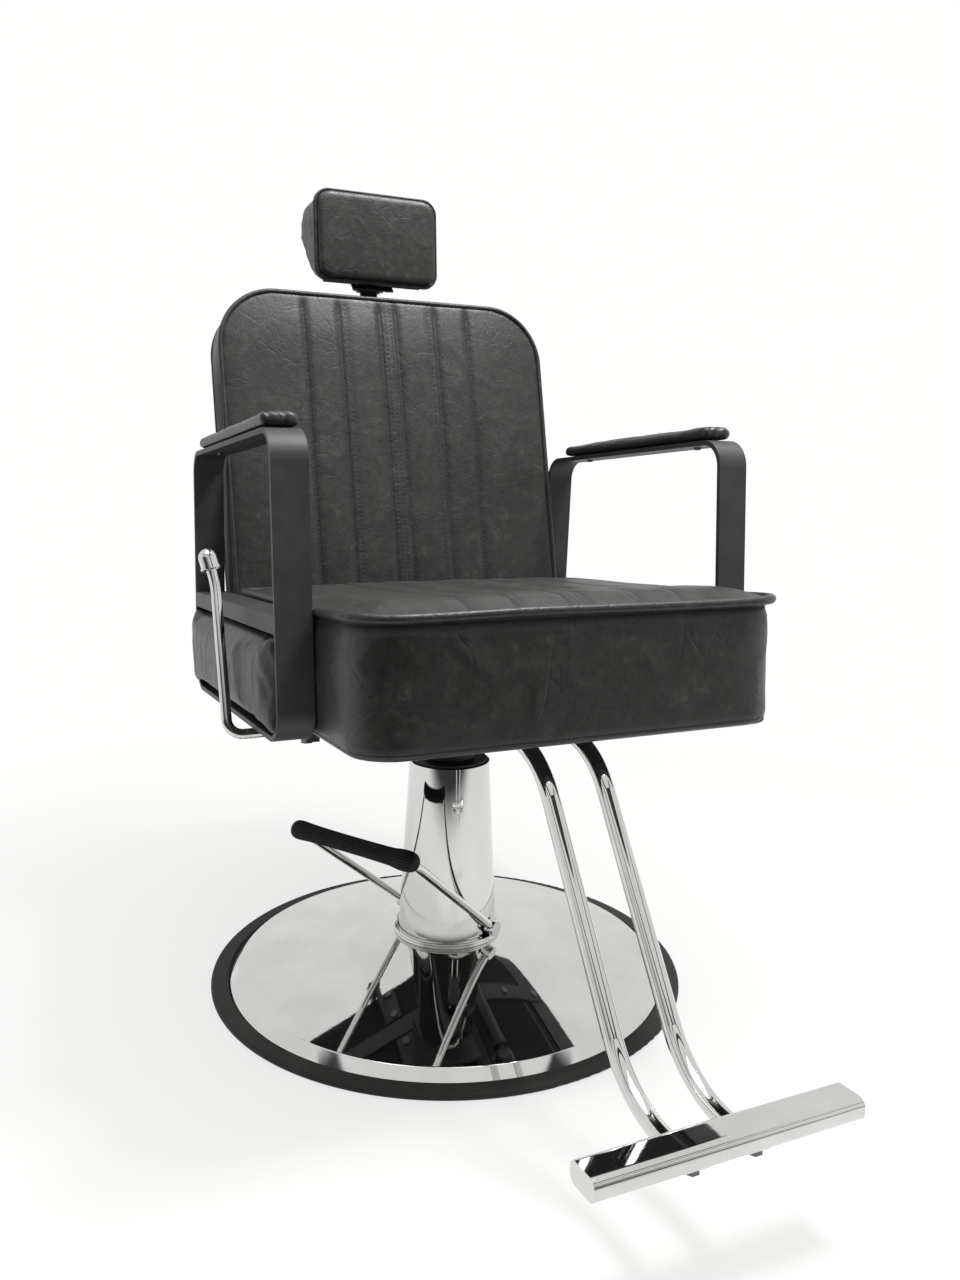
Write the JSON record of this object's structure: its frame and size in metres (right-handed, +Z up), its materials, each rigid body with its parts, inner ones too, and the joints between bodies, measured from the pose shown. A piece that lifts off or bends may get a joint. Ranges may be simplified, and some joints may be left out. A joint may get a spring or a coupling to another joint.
{
  "type": "hydraulic barber chair",
  "caption": "Hydraulic barber chair on a round chromed base, with a reclining padded back, adjustable headrest, padded arms, bar footrest, foot pump pedal and recline lever.",
  "frame": {"origin": "on the floor at the middle of the round base", "axes": "+Z up; the chair faces -Y; +X is the sitter's left, so the recline lever is on the -X side"},
  "size_m": [0.6643, 1.0414, 1.1024],
  "materials": {
    "rubber_trim": "matt dark moulded rubber, slightly greyed",
    "base_sheet": "black primer",
    "chrome": "mirror chrome plate with fine wear",
    "black_cap": "matt black",
    "bar_end": "bright plated end cap",
    "casting": "dark painted casting",
    "bare_steel": "oiled machined steel",
    "seal": "oil-resistant rubber",
    "zinc_fastener": "bright zinc plate",
    "bronze": "sintered bronze",
    "black_steel": "satin black powder coat",
    "plywood": "plywood under a black dust cover",
    "upholstery": "black leatherette with faint grey wear",
    "grip_rubber": "matt black ribbed rubber",
    "black_knob": "matt black moulding"
  },
  "bodies": {
    "base": {"rubber_ring": "rubber_trim", "base_plate": "base_sheet", "base_dome": "chrome", "shroud_ring": "chrome", "pump_shroud": "chrome", "shroud_cap": "black_cap", "pump_base": "casting", "pump_tank": "bare_steel", "pump_cylinder": "bare_steel", "ram_guide": "bare_steel", "wiper_seal": "seal", "pump_bolts": "zinc_fastener"},
    "ram": {"ram_rod": "chrome", "piston_seal": "seal", "thrust_washer": "bronze", "ram_nut": "zinc_fastener"},
    "seat": {"swivel_hub": "black_steel", "swivel_bush": "bronze", "hub_bracket": "black_steel", "mount_plate": "black_steel", "seat_board": "plywood", "seat_cushion": "upholstery", "seat_bolts": "zinc_fastener", "arm_straps": "black_steel", "arm_frame_left": "black_steel", "arm_frame_right": "black_steel", "arm_rails": "black_steel", "side_pads": "upholstery", "arm_pads": "upholstery", "arm_pad_screws": "zinc_fastener", "footrest_tube_left": "chrome", "footrest_tube_right": "chrome", "footrest_clamp": "black_steel", "foot_bar": "chrome", "foot_bar_caps": "bar_end", "hinge_brackets": "black_steel", "seat_pins": "zinc_fastener", "strut_bracket": "black_steel", "lever_bearings": "black_steel"},
    "lever": {"recline_lever": "chrome", "lever_knob": "chrome"},
    "strut_cylinder": {"strut_tube": "black_steel"},
    "strut_piston": {"strut_rod": "chrome", "strut_rear_pin": "zinc_fastener"},
    "back": {"back_cushion": "upholstery", "back_board": "plywood", "back_bars": "black_steel", "back_bolts": "zinc_fastener", "headrest_guide": "black_steel"},
    "clamp": {"headrest_clamp_knob": "black_knob"},
    "post": {"headrest_post": "black_steel", "headrest_pin": "zinc_fastener"},
    "headrest": {"headrest_cushion": "upholstery", "headrest_board": "plywood", "headrest_bracket": "black_steel", "headrest_screws": "zinc_fastener"},
    "pedal": {"pedal_shaft": "chrome", "pedal_rod": "chrome", "pedal_grip": "grip_rubber"},
    "plunger": {"pump_plunger": "bare_steel"}
  },
  "joints": [
    {"name": "lift", "type": "slide", "parent": "base", "child": "ram", "axis": [0, 0, 1], "range_m": [0, 0.14]},
    {"name": "swivel", "type": "hinge", "parent": "ram", "child": "seat", "pos_m": [0, 0, 0.33], "axis": [0, 0, 1], "continuous": true},
    {"name": "recline", "type": "hinge", "parent": "seat", "child": "back", "pos_m": [0, 0.2351, 0.36824], "axis": [-1, 0, 0], "range_deg": [0, 35]},
    {"name": "strut_pivot", "type": "hinge", "parent": "seat", "child": "strut_cylinder", "pos_m": [0.1, -0.06683, 0.34921], "axis": [-1, 0, 0], "range_deg": [0, 0.4]},
    {"name": "strut_stroke", "type": "slide", "parent": "strut_cylinder", "child": "strut_piston", "axis": [0, -0.9937, 0.1123], "range_m": [0, 0.034]},
    {"name": "lever_turn", "type": "hinge", "parent": "seat", "child": "lever", "pos_m": [0, -0.10389, 0.39476], "axis": [1, 0, 0], "range_deg": [0, 12], "stiffness_Nm_per_rad": 3, "springref_deg": -14.32},
    {"name": "headrest_slide", "type": "slide", "parent": "back", "child": "post", "axis": [0, 0.2233, 0.9748], "range_m": [0, 0.1]},
    {"name": "headrest_tilt", "type": "hinge", "parent": "post", "child": "headrest", "pos_m": [0, 0.35061, 0.97412], "axis": [1, 0, 0], "range_deg": [-35, 12]},
    {"name": "headrest_clamp", "type": "hinge", "parent": "back", "child": "clamp", "pos_m": [0, 0.3209, 0.82754], "axis": [0, 0.9748, -0.2233], "range_deg": [-90, 0]},
    {"name": "pedal_press", "type": "hinge", "parent": "base", "child": "pedal", "pos_m": [0, 0, 0.0805], "axis": [0.5045, -0.8634, 0], "range_deg": [0, 25], "stiffness_Nm_per_rad": 7, "springref_deg": -22.92},
    {"name": "plunger_stroke", "type": "slide", "parent": "base", "child": "plunger", "axis": [0, 0, 1], "range_m": [0, 0.01]}
  ],
  "couplings": [
    {"joint": "strut_pivot", "follows": "recline", "ratio": 0.008823},
    {"joint": "strut_stroke", "follows": "recline", "m_per_rad": 0.054084},
    {"joint": "plunger_stroke", "follows": "pedal_press", "m_per_rad": 0.021826}
  ]
}
